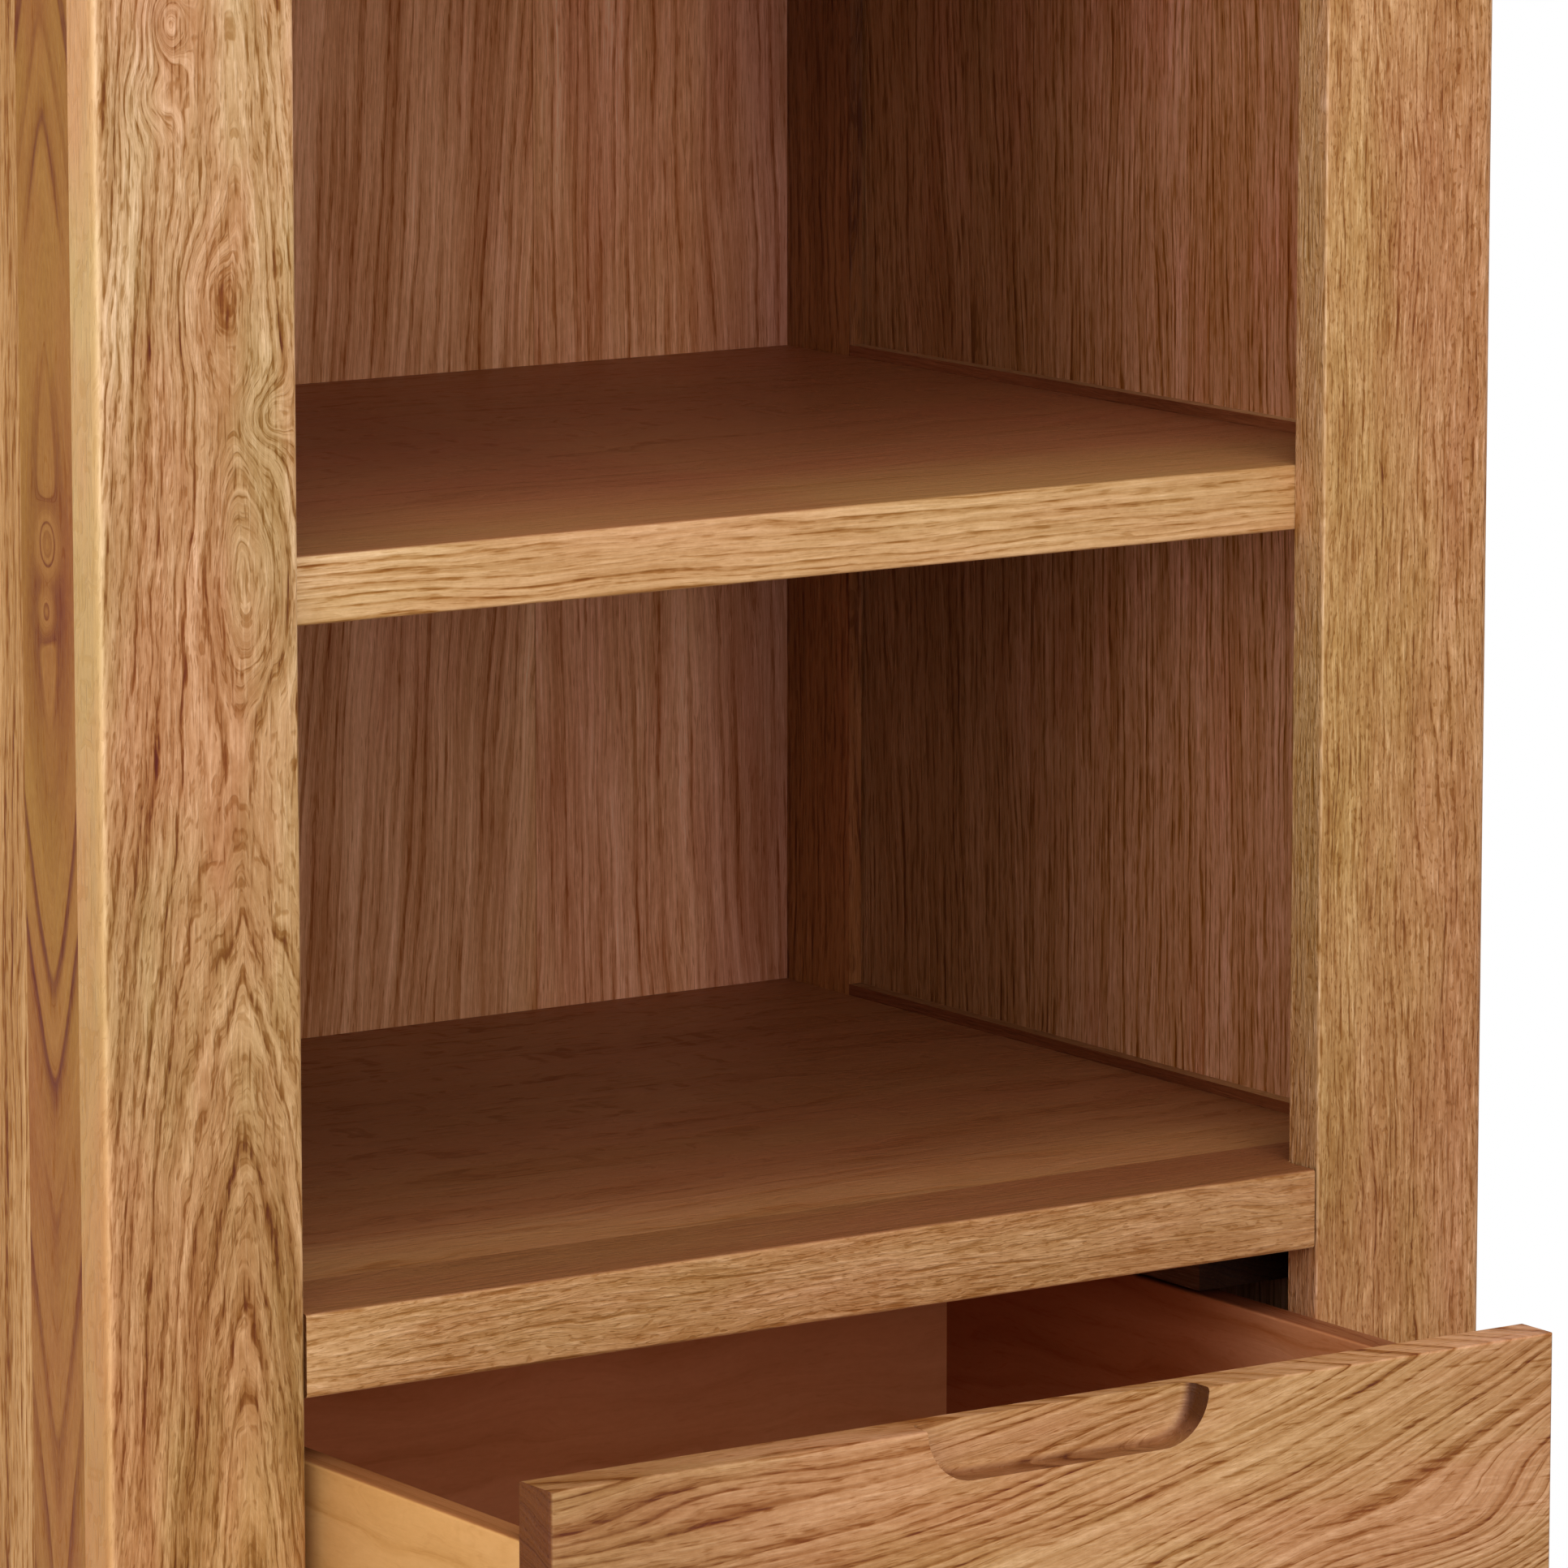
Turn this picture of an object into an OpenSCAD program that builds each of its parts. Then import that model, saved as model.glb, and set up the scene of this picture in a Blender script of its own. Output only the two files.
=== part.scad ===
// Tall open pantry cabinet in solid oak.
//
// A face frame of two wide stiles and narrow rails fronts a post-and-panel case. The
// sides are flush outside and recessed inside between their posts. Thick fixed shelves
// sit on battens and cleats behind the stiles, and one inset drawer with a routed finger
// scoop runs on wooden runners at the bottom. The drawer stands part way open.
//
// Millimetres. X is across, Y runs from front to back and Z is up, with the floor at 0.
// The origin is under the middle of the whole footprint, open drawer included.

/* [Case] */
// Clear width between the two face stiles
opening_w = 450; // [380:5:560]
// Depth of the case, from the face of the stiles to the back
case_d = 450; // [420:5:520]
// Height of the legs, from the floor to the bottom rail
leg_h = 80; // [50:5:140]
// Number of open compartments above the drawer
tier_count = 5; // [2:1:6]
// Clear height of one compartment
tier_h = 243; // [180:1:320]

/* [Face frame] */
// Width of a face stile
stile_w = 80; // [60:1:110]
// Thickness of the face frame
stile_t = 18; // [16:1:24]
// Radius on the outer front corner of a face stile
stile_r = 5; // [2:0.5:8]
// Radius on the small eased edges
ease_r = 1.5; // [0.5:0.5:3]
// Height of the rail under the top
top_rail_h = 60; // [50:1:90]
// Height of the rail under the drawer
bottom_rail_h = 60; // [50:1:90]
// Length of the tenon on each end of a face rail
tenon_l = 20; // [10:1:30]
// Thickness of that tenon
tenon_t = 6; // [4:1:8]
// Shoulder above and below that tenon
tenon_shoulder = 10; // [5:1:15]
// Height of the rail between the drawer and the compartments
drawer_rail_h = 30.5; // [28:0.5:45]
// How far that rail reaches in behind the stiles
drawer_rail_back = 30; // [20:1:60]

/* [Sides] */
// Thickness of the side stiles and rear posts
frame_t = 25; // [23:1:32]
// Width of a side stile, front to back
side_stile_w = 36; // [30:1:60]
// Width of a rear post, front to back
rear_post_w = 56; // [45:1:80]
// Thickness of a side panel
panel_t = 19; // [14:1:20]
// Thickness of the tongue on the edges of a side panel
tongue_t = 8; // [5:0.5:9]
// Length of that tongue
tongue_l = 8; // [5:1:12]

/* [Shelves] */
// Thickness of a shelf
shelf_t = 25; // [20:1:30]
// Thickness of the board that forms the floor of the lowest compartment
floor_t = 25; // [18:1:28]
// How far a side batten stands above the shelf that it carries
batten_rise = 4.5; // [0:0.5:8]
// Height of the cleat under each end of a shelf, and how far it stands in past the battens
cleat_w = 20; // [16:1:26]
// Distance between the two screws of a cleat
cleat_screw_pitch = 200; // [100:5:240]
// Length of a cleat past each of those screws
cleat_screw_end = 25; // [15:1:30]
// Room between the rear end of a cleat and the post behind it
cleat_end_room = 6; // [1:1:20]

/* [Top and back] */
// Thickness of the top board
top_t = 25; // [18:1:35]
// How far the top stands out at the front and the sides
top_overhang = 12; // [0:1:25]
// Radius on the edges of the top
top_r = 4; // [1:0.5:6]
// Thickness of the back panel
back_t = 10; // [6:1:12]
// Width of the rabbet in each rear post that holds the back panel
rabbet_w = 10; // [8:1:14]
// Thickness of the rail between the feet of the rear posts
rear_rail_t = 22; // [18:1:26]
// Width of the two flat stretchers under the top
stretcher_w = 50; // [40:1:80]
// Thickness of those stretchers
stretcher_t = 18; // [15:1:22]
// Screws down each edge of the back panel
back_screw_count = 7; // [4:1:10]
// Distance from each end of the back panel to the nearest of those screws
back_screw_inset = 40; // [20:5:80]

/* [Drawer] */
// How far the drawer is pulled out as it stands
drawer_open = 152; // [60:1:220]
// Height of the drawer front
drawer_front_h = 180; // [140:1:240]
// Thickness of the drawer front
drawer_front_t = 20; // [18:1:24]
// Depth of the drawer box behind its front
drawer_box_d = 370; // [300:5:370]
// Thickness of the drawer sides and back
drawer_side_t = 12; // [12:1:15]
// How far the drawer sides stop below the top of the front
drawer_side_drop = 21; // [15:1:40]
// How far the drawer sides stop above the bottom of the front
drawer_side_lift = 2; // [0:0.5:3]
// Distance from the end of the drawer sides in to the drawer back
drawer_back_inset = 8; // [4:1:20]
// Thickness of the drawer bottom
drawer_bottom_t = 6; // [4:0.5:9]
// Height of the drawer bottom above the lower edge of the sides
drawer_bottom_rise = 10; // [8:1:14]
// Depth of the grooves and housings in the drawer sides
drawer_housing = 5; // [3:0.5:6]
// Radius of a drawer dowel
dowel_r = 3; // [2:0.5:4]
// Wood left between the end of a dowel and the face of the drawer front
dowel_cover = 8; // [6:0.5:10]
// Length of a dowel inside a drawer side
dowel_grip = 18; // [12:1:26]

/* [Finger scoop] */
// Length of the scoop across the drawer front
scoop_w = 123; // [80:1:160]
// Height of the scoop, which is also the radius of its rounded ends
scoop_h = 20; // [14:1:30]
// Depth of the scoop
scoop_d = 12; // [6:0.5:14]
// Radius where the wall of the scoop turns into its back
scoop_round = 5; // [2:0.5:5.5]

/* [Drawer run] */
// Width of the bearing under each drawer side
runner_bearing = 14; // [10:1:30]
// Thickness of a drawer runner
runner_t = 25; // [18:1:32]
// Height of the guide that steers each drawer side
guide_h = 20; // [12:1:40]
// Length of the stop block behind each drawer side
stop_l = 18; // [12:1:22]
// Height of that block
stop_h = 20; // [12:1:40]

/* [Screws and glides] */
// Shank radius of the screws
screw_r = 2; // [1.5:0.25:2.5]
// Head radius of the screws
screw_head_r = 4; // [3:0.25:4.5]
// Length of the screws through a cleat or a stretcher
long_screw_l = 34; // [30:1:38]
// Length of the screws through the back panel and the drawer bottom
short_screw_l = 22; // [18:1:26]
// Radius of a foot glide
glide_r = 11; // [8:0.5:12]
// Thickness of a foot glide
glide_t = 4; // [2:0.5:8]
// Length of the pin on a foot glide
glide_pin_l = 14; // [10:1:20]

/* [Fits] */
// Gap between a drawer front and the stile beside it
drawer_side_gap = 6; // [2:0.5:8]
// Gap between the drawer front and the rail above it
drawer_top_gap = 4; // [2:0.5:6]
// Gap between the drawer front and the rail below it
drawer_bottom_gap = 3; // [2:0.5:6]
// Gap between the back of the closed drawer front and the runners
drawer_back_gap = 1; // [0.5:0.5:3]
// How far the closed drawer front sits behind the face of the stiles
drawer_recess = 1; // [0:0.5:3]
// Running gap between a drawer side and its guide
guide_gap = 1; // [0.5:0.5:2]
// Running gap between a drawer side and the kicker above it
kicker_gap = 2; // [1:0.5:4]
// Open joint between the drawer rail and each stile
rail_end_gap = 1; // [0.3:0.1:2]
// How far the rails sit behind the face of the stiles
rail_setback = 0.5; // [0:0.1:2]
// Gap that lets a shelf slip in between its neighbours
seat_gap = 0.3; // [0.2:0.1:0.6]
// Glue space at the bottom of a mortise, groove or dowel hole
glue_gap = 0.5; // [0.2:0.1:1]
// Room above and below the drawer bottom in its grooves
groove_gap = 0.1; // [0.05:0.05:0.3]
// Radial room around a screw, dowel or glide pin
hole_gap = 0.1; // [0.05:0.05:0.2]

/* [Hidden] */
$fn = 64;
SHELVES = [for (i = [1:tier_count - 1]) str("shelf_", i)];

// Finishes
oak_light = [0.74, 0.55, 0.33];
oak = [0.68, 0.48, 0.28];
oak_inside = [0.48, 0.29, 0.17];
blond = [0.80, 0.62, 0.36];
steel = [0.72, 0.70, 0.66];
nylon = [0.25, 0.20, 0.16];
over = 1; // how far a cutter runs past the wood that it leaves

// Widths, measured from the middle of the case
half_open = opening_w / 2;
half_case = half_open + stile_w;
post_x = half_case - frame_t;       // inner face of the side stiles, posts and battens
panel_x = half_case - panel_t;      // inner face of the side panels
tongue_x = panel_x + (panel_t - tongue_t) / 2;

// Depths, measured from the face of the stiles
side_stile_y = stile_t + side_stile_w; // back of the side stiles
rear_post_y = case_d - rear_post_w;    // front of the rear posts
back_y = case_d - back_t;              // face of the back panel
rear_rail_y = back_y - rear_rail_t;

// Heights
drawer_bay_z = leg_h + bottom_rail_h;
drawer_bay_h = drawer_bottom_gap + drawer_front_h + drawer_top_gap;
drawer_rail_z = drawer_bay_z + drawer_bay_h;
floor_z = drawer_rail_z + drawer_rail_h;
tier_pitch = tier_h + shelf_t;
top_rail_z = floor_z + tier_count * tier_pitch - shelf_t;
case_z = top_rail_z + top_rail_h;
function shelf_z(i) = floor_z + i * tier_pitch; // upper face of shelf i
batten_h = batten_rise + shelf_t;
batten_tops = concat([for (i = [0:tier_count - 1]) shelf_z(i) + batten_rise], [case_z]);

// Drawer, where it lies when it is shut
drawer_x = half_open - drawer_side_gap;   // outer face of the front's ends and of the sides
drawer_in_x = drawer_x - drawer_side_t;
drawer_y = drawer_recess + drawer_front_t; // back of the drawer front
drawer_end_y = drawer_y + drawer_box_d;
drawer_back_y = drawer_end_y - drawer_back_inset - drawer_side_t;
drawer_z = drawer_bay_z + drawer_bottom_gap;
drawer_top_z = drawer_z + drawer_front_h;
drawer_side_z = drawer_z + drawer_side_lift;
drawer_side_top_z = drawer_top_z - drawer_side_drop;
drawer_bottom_z = drawer_side_z + drawer_bottom_rise;
drawer_floor_z = drawer_bottom_z + drawer_bottom_t;
groove_d = drawer_housing + glue_gap;
dowel_in_front = drawer_front_t - dowel_cover;
dowel_z = [for (k = [1, 3, 5]) drawer_floor_z + k * (drawer_side_top_z - drawer_floor_z) / 6];
runner_x = drawer_x - runner_bearing;
runner_y = max(stile_t, drawer_y) + drawer_back_gap; // where the bearing starts
stop_y = drawer_end_y + seat_gap;
stop_end_y = min(stop_y + stop_l, back_y - seat_gap); // a deep drawer leaves a short stop

// Fasteners
screw_head_h = screw_head_r - screw_r;
screw_tip = 2 * screw_r;
cleat_l = cleat_screw_pitch + 2 * cleat_screw_end;
cleat_y = rear_post_y - cleat_end_room - cleat_l / 2; // its middle, well back under the shelf
stretcher_screw_x = [-0.75 * post_x, 0, 0.75 * post_x];
drawer_screw_x = [-0.6 * drawer_in_x, 0, 0.6 * drawer_in_x];
back_screw_x = post_x + rabbet_w / 2;
back_screw_z = [for (k = [0:back_screw_count - 1])
    leg_h + back_screw_inset
        + k * (case_z - leg_h - 2 * back_screw_inset) / (back_screw_count - 1)];
glide_spots = [[half_case - frame_t / 2, stile_t + side_stile_w / 2],
               [half_case - frame_t / 2, case_d - rear_post_w / 2]];

// The footprint runs from the open drawer, or the top if that stands out more, to the back
foot_front = min(drawer_recess - drawer_open, -top_overhang);
foot_mid = (foot_front + case_d) / 2;

// ---- Places and mirrored copies ----

module in_case() {
    translate([0, -foot_mid, 0]) children();
}

module in_drawer() {
    translate([0, -foot_mid - drawer_open, 0]) children();
}

// The right-hand piece (side = 1), or its mirror image (side = -1)
module on_side(side) {
    mirror([side < 0 ? 1 : 0, 0, 0]) children();
}

module both_sides() {
    for (side = [-1, 1]) on_side(side) children();
}

// ---- Boards ----

// A block between two values on each axis
module block(x, y, z) {
    translate([x[0], y[0], z[0]]) cube([x[1] - x[0], y[1] - y[0], z[1] - z[0]]);
}

// Extrudes an outline along one axis. Its own two axes are the other two, in order.
module along_x(x) {
    translate([x[0], 0, 0]) rotate([90, 0, 90]) linear_extrude(x[1] - x[0]) children();
}

module along_y(y) {
    translate([0, y[1], 0]) rotate([90, 0, 0]) linear_extrude(y[1] - y[0]) children();
}

module along_z(z) {
    translate([0, 0, z[0]]) linear_extrude(z[1] - z[0]) children();
}

// A rectangle whose corners have their own radii: [low low, high low, high high, low high]
module eased(u, v, radii) {
    corners = [[u[0], v[0]], [u[1], v[0]], [u[1], v[1]], [u[0], v[1]]];
    difference() {
        translate([u[0], v[0]]) square([u[1] - u[0], v[1] - v[0]]);
        for (c = [0:3]) if (radii[c] > 0) {
            translate(corners[c]) rotate(90 * c) difference() {
                translate([-over, -over]) square(radii[c] + over);
                translate([radii[c], radii[c]]) circle(radii[c]);
            }
        }
    }
}

// ---- Fasteners ----

// A countersunk screw with its head at the origin, driven up the Z axis
module screw(length, gap = 0) {
    rotate_extrude() polygon([
        [0, 0], [screw_head_r + gap, 0], [screw_r + gap, screw_head_h],
        [screw_r + gap, length - screw_tip], [0, length + gap]]);
}

// One screw near each end of every cleat, driven outwards into the side panel
module at_cleat_screws() {
    for (i = [1:tier_count - 1]) for (end = [-1, 1])
        both_sides() translate([post_x - cleat_w, cleat_y + end * cleat_screw_pitch / 2,
                                shelf_z(i) - shelf_t - cleat_w / 2])
            rotate([0, 90, 0]) children();
}

module at_top_screws() {
    for (x = stretcher_screw_x)
        for (y = [stile_t + stretcher_w / 2, back_y - stretcher_w / 2])
            translate([x, y, case_z - stretcher_t]) children();
}

module at_back_screws() {
    for (z = back_screw_z)
        both_sides() translate([back_screw_x, case_d, z]) rotate([90, 0, 0]) children();
    for (x = drawer_screw_x)
        translate([x, case_d, leg_h + bottom_rail_h / 2]) rotate([90, 0, 0]) children();
}

module at_drawer_screws() {
    for (x = drawer_screw_x)
        translate([x, drawer_back_y + drawer_side_t / 2, drawer_bottom_z]) children();
}

module at_dowels() {
    for (z = dowel_z)
        both_sides() translate([drawer_x - drawer_side_t / 2, drawer_y, z]) children();
}

// A foot glide: a domed disc and the barbless pin that holds it in the end grain
module glide(gap = 0) {
    rotate_extrude() polygon([
        [0, 0], [glide_r - glide_t / 2, 0], [glide_r, glide_t / 2], [glide_r, glide_t],
        [screw_r + gap, glide_t], [screw_r + gap, glide_t + glide_pin_l + gap],
        [0, glide_t + glide_pin_l + gap]]);
}

module at_glides() {
    for (spot = glide_spots) both_sides() translate([spot[0], spot[1], 0]) children();
}

// ---- Face frame ----

// The tenons on a face rail's two ends, or with room the mortises that take them
module face_tenons(z, h, room = 0) {
    reach = half_open + tenon_l + room;
    mid = rail_setback + (stile_t - rail_setback) / 2;
    block([-reach, reach], [mid - tenon_t / 2, mid + tenon_t / 2],
          [z + tenon_shoulder, z + h - tenon_shoulder]);
}

module face_rail(z, h) {
    color(oak) in_case() union() {
        along_x([-half_open, half_open])
            eased([rail_setback, stile_t], [z, z + h], [ease_r, 0, 0, ease_r]);
        face_tenons(z, h);
    }
}

module face_stile(side) {
    color(oak_light) in_case() difference() {
        on_side(side) along_z([glide_t, case_z])
            eased([half_open, half_case], [0, stile_t], [ease_r, stile_r, 0, 0]);
        face_tenons(leg_h, bottom_rail_h, glue_gap);
        face_tenons(top_rail_z, top_rail_h, glue_gap);
    }
}

// Its front tongue shows between the stiles, and the full width is glued in behind them
module drawer_rail() {
    color(oak_light) in_case() difference() {
        along_x([-post_x, post_x])
            eased([rail_setback, stile_t + drawer_rail_back], [drawer_rail_z, floor_z],
                  [ease_r, 0, 0, ease_r]);
        both_sides() block([half_open - rail_end_gap, post_x + over],
                           [rail_setback - over, stile_t],
                           [drawer_rail_z - over, floor_z + over]);
    }
}

// ---- Sides ----

// The tongue along one edge of a side panel, or with room the groove that takes it
module panel_tongue(y, room = 0) {
    block([tongue_x, tongue_x + tongue_t], [y[0] - room, y[1] + room], [leg_h, case_z + room]);
}

module side_stile(side) {
    color(oak_light) in_case() difference() {
        on_side(side) difference() {
            block([post_x, half_case], [stile_t, side_stile_y], [glide_t, case_z]);
            panel_tongue([side_stile_y - tongue_l, side_stile_y], glue_gap);
        }
        at_glides() glide(hole_gap);
    }
}

module rear_post(side) {
    color(oak) in_case() difference() {
        on_side(side) difference() {
            along_z([glide_t, case_z])
                eased([post_x, half_case], [rear_post_y, case_d], [0, 0, ease_r, 0]);
            panel_tongue([rear_post_y, rear_post_y + tongue_l], glue_gap);
            block([post_x - over, post_x + rabbet_w], [back_y, case_d + over],
                  [leg_h, case_z + over]);
        }
        at_glides() glide(hole_gap);
        at_back_screws() screw(short_screw_l, hole_gap);
    }
}

module side_panel(side) {
    color(oak) in_case() difference() {
        on_side(side) union() {
            block([panel_x, half_case], [side_stile_y, rear_post_y], [leg_h, case_z]);
            panel_tongue([side_stile_y - tongue_l, rear_post_y + tongue_l]);
        }
        at_cleat_screws() screw(long_screw_l, hole_gap);
    }
}

// One batten for each shelf, one for the top and one that backs the drawer runner
module side_battens(side) {
    color(oak_inside) in_case() on_side(side) {
        for (top = batten_tops)
            block([post_x, panel_x], [side_stile_y, rear_post_y], [top - batten_h, top]);
        block([post_x, panel_x], [side_stile_y, rear_post_y], [leg_h, drawer_bay_z]);
    }
}

// ---- Shelves and floor ----

module shelf(i) {
    color(oak_inside) in_case() along_x([-post_x + seat_gap, post_x - seat_gap])
        eased([stile_t + seat_gap, back_y - seat_gap], [shelf_z(i) - shelf_t, shelf_z(i)],
              [ease_r, 0, 0, ease_r]);
}

module compartment_floor() {
    color(oak_inside) in_case()
        block([-post_x + seat_gap, post_x - seat_gap],
              [stile_t + drawer_rail_back, back_y - seat_gap], [floor_z - floor_t, floor_z]);
}

// Each one lies against the side panel, right under the batten beside the shelf
module shelf_cleats() {
    color(oak_inside) in_case() difference() {
        for (i = [1:tier_count - 1]) both_sides()
            along_y([cleat_y - cleat_l / 2, cleat_y + cleat_l / 2])
                eased([post_x - cleat_w, panel_x],
                      [shelf_z(i) - shelf_t - cleat_w, shelf_z(i) - shelf_t],
                      [ease_r, 0, 0, 0]);
        at_cleat_screws() screw(long_screw_l, hole_gap);
    }
}

module cleat_screws() {
    color(steel) in_case() at_cleat_screws() screw(long_screw_l);
}

// ---- Top and back ----

module top_board() {
    x = half_case + top_overhang;
    color(oak_light) in_case() difference() {
        intersection() {
            along_x([-x, x]) eased([-top_overhang, case_d], [case_z, case_z + top_t],
                                   [top_r, 0, 0, top_r]);
            along_y([-top_overhang, case_d]) eased([-x, x], [case_z, case_z + top_t],
                                                   [top_r, top_r, top_r, top_r]);
            along_z([case_z, case_z + top_t]) eased([-x, x], [-top_overhang, case_d],
                                                    [stile_r, stile_r, 0, 0]);
        }
        at_top_screws() screw(long_screw_l, hole_gap);
    }
}

module top_stretchers() {
    color(oak_inside) in_case() difference() {
        for (y = [stile_t, back_y - stretcher_w])
            block([-post_x, post_x], [y, y + stretcher_w], [case_z - stretcher_t, case_z]);
        at_top_screws() screw(long_screw_l, hole_gap);
    }
}

module top_screws() {
    color(steel) in_case() at_top_screws() screw(long_screw_l);
}

module back_panel() {
    x = post_x + rabbet_w - seat_gap;
    color(oak_inside) in_case() difference() {
        block([-x, x], [back_y, case_d], [leg_h, case_z]);
        at_back_screws() screw(short_screw_l, hole_gap);
    }
}

module back_screws() {
    color(steel) in_case() at_back_screws() screw(short_screw_l);
}

module rear_bottom_rail() {
    color(oak_inside) in_case() difference() {
        block([-post_x, post_x], [rear_rail_y, back_y], [leg_h, drawer_bay_z]);
        at_back_screws() screw(short_screw_l, hole_gap);
    }
}

// ---- Drawer run ----

// Notched at the front, where the closed drawer front stands behind the face frame
module drawer_runners() {
    color(oak_inside) in_case() both_sides()
        along_z([drawer_side_z - runner_t, drawer_side_z]) polygon([
            [half_open, stile_t], [post_x, stile_t], [post_x, rear_rail_y],
            [runner_x, rear_rail_y], [runner_x, runner_y], [half_open, runner_y]]);
}

module drawer_guides() {
    color(oak_inside) in_case() both_sides()
        block([drawer_x + guide_gap, post_x], [stile_t, rear_rail_y],
              [drawer_side_z, drawer_side_z + guide_h]);
}

// Hung under the compartment floor, to keep the open drawer level
module drawer_kickers() {
    color(oak_inside) in_case() both_sides()
        block([runner_x, post_x], [stile_t + drawer_rail_back, back_y - seat_gap],
              [drawer_side_top_z + kicker_gap, floor_z - floor_t]);
}

module drawer_stops() {
    color(oak_inside) in_case() both_sides()
        block([runner_x, drawer_x], [stop_y, stop_end_y],
              [drawer_side_z, drawer_side_z + stop_h]);
}

module foot_glides() {
    color(nylon) in_case() at_glides() glide();
}

// ---- Drawer ----

// Half of the scoop's section: out from its middle, and in from the plane of the stiles
module scoop_section() {
    back = drawer_recess + scoop_d;
    flat = scoop_h - scoop_round;
    translate([0, -over]) square([scoop_h, back - scoop_round + over]);
    translate([0, -over]) square([flat, back + over]);
    translate([flat, back - scoop_round]) circle(scoop_round);
}

// The path of a round-cornered cutter, run along the top edge of the front. It breaks the
// face as a flat-bottomed outline with quarter-round ends and leaves a lip behind.
module scoop_cutter() {
    run = scoop_w / 2 - scoop_h;
    along_x([-run, run]) translate([0, drawer_top_z]) rotate(-90)
        for (half = [0, 1]) mirror([half, 0]) scoop_section();
    for (end = [-run, run])
        translate([end, 0, drawer_top_z]) rotate([-90, 0, 0]) rotate_extrude() scoop_section();
}

// The sheet of the drawer bottom. With room and play it is the grooves that take it.
module bottom_sheet(room = 0, play = 0) {
    x = drawer_in_x + drawer_housing + room;
    block([-x, x], [drawer_y - drawer_housing - room, drawer_back_y + drawer_side_t],
          [drawer_bottom_z - play, drawer_floor_z + play]);
}

module dowel_holes() {
    at_dowels() translate([0, -dowel_in_front - glue_gap, 0]) rotate([-90, 0, 0])
        cylinder(h = dowel_in_front + dowel_grip + 2 * glue_gap, r = dowel_r + hole_gap);
}

module drawer_front() {
    color(oak_light) in_drawer() difference() {
        intersection() {
            along_x([-drawer_x, drawer_x])
                eased([drawer_recess, drawer_y], [drawer_z, drawer_top_z],
                      [ease_r, 0, ease_r, ease_r]);
            along_z([drawer_z, drawer_top_z])
                eased([-drawer_x, drawer_x], [drawer_recess, drawer_y], [ease_r, ease_r, 0, 0]);
        }
        scoop_cutter();
        bottom_sheet(glue_gap, groove_gap);
        dowel_holes();
    }
}

module drawer_side(side) {
    color(blond) in_drawer() difference() {
        on_side(side) difference() {
            along_y([drawer_y, drawer_end_y])
                eased([drawer_in_x, drawer_x], [drawer_side_z, drawer_side_top_z],
                      [0, 0, ease_r, ease_r]);
            block([drawer_in_x - over, drawer_in_x + drawer_housing],
                  [drawer_back_y, drawer_back_y + drawer_side_t],
                  [drawer_floor_z, drawer_side_top_z + over]);
        }
        block([-drawer_in_x - groove_d, drawer_in_x + groove_d],
              [drawer_y - over, drawer_end_y + over],
              [drawer_bottom_z - groove_gap, drawer_floor_z + groove_gap]);
        dowel_holes();
    }
}

module drawer_back() {
    x = drawer_in_x + drawer_housing;
    color(blond) in_drawer() difference() {
        block([-x, x], [drawer_back_y, drawer_back_y + drawer_side_t],
              [drawer_floor_z, drawer_side_top_z]);
        at_drawer_screws() screw(short_screw_l, hole_gap);
    }
}

module drawer_bottom() {
    color(blond) in_drawer() difference() {
        bottom_sheet();
        at_drawer_screws() screw(short_screw_l, hole_gap);
    }
}

module drawer_dowels() {
    color(blond) in_drawer() at_dowels() translate([0, -dowel_in_front, 0]) rotate([-90, 0, 0])
        cylinder(h = dowel_in_front + dowel_grip, r = dowel_r);
}

module drawer_bottom_screws() {
    color(steel) in_drawer() at_drawer_screws() screw(short_screw_l);
}

top_board();
face_stile(-1);  // face_stile_left
face_stile(1);  // face_stile_right
face_rail(top_rail_z, top_rail_h);  // top_face_rail
face_rail(leg_h, bottom_rail_h);  // bottom_face_rail
drawer_rail();
side_stile(-1);  // side_stile_left
side_stile(1);  // side_stile_right
rear_post(-1);  // rear_post_left
rear_post(1);  // rear_post_right
side_panel(-1);  // side_panel_left
side_panel(1);  // side_panel_right
side_battens(-1);  // side_battens_left
side_battens(1);  // side_battens_right
compartment_floor();
for (i = [1:tier_count - 1]) shelf(i);
shelf_cleats();
cleat_screws();
back_panel();
back_screws();
rear_bottom_rail();
top_stretchers();
top_screws();
drawer_runners();
drawer_guides();
drawer_kickers();
drawer_stops();
foot_glides();
drawer_front();
drawer_side(-1);  // drawer_side_left
drawer_side(1);  // drawer_side_right
drawer_back();
drawer_bottom();
drawer_dowels();
drawer_bottom_screws();
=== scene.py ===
"""Looks of the open oak pantry cabinet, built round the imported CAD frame."""

import math

import bpy
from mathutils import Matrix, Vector


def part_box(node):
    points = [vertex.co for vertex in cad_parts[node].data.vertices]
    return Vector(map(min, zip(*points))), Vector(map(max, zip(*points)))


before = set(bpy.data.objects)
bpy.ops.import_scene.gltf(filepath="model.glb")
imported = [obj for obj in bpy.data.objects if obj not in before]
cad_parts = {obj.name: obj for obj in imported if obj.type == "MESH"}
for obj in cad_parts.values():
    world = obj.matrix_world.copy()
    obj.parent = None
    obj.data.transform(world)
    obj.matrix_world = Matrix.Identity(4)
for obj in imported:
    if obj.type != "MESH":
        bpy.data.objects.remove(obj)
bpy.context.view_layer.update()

# ---- Camera ----
# A long lens to the left of the front, aimed a little down at the drawer and the two
# compartments above it

CAMERA_PLACE = Vector((-1.930, -2.964, 1.095))
CAMERA_TURN = math.radians(34.16)   # from straight ahead towards the right
CAMERA_DROP = math.radians(9.45)    # below level
CAMERA_LENS = 218.3                 # mm on a 36 mm sensor


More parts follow.
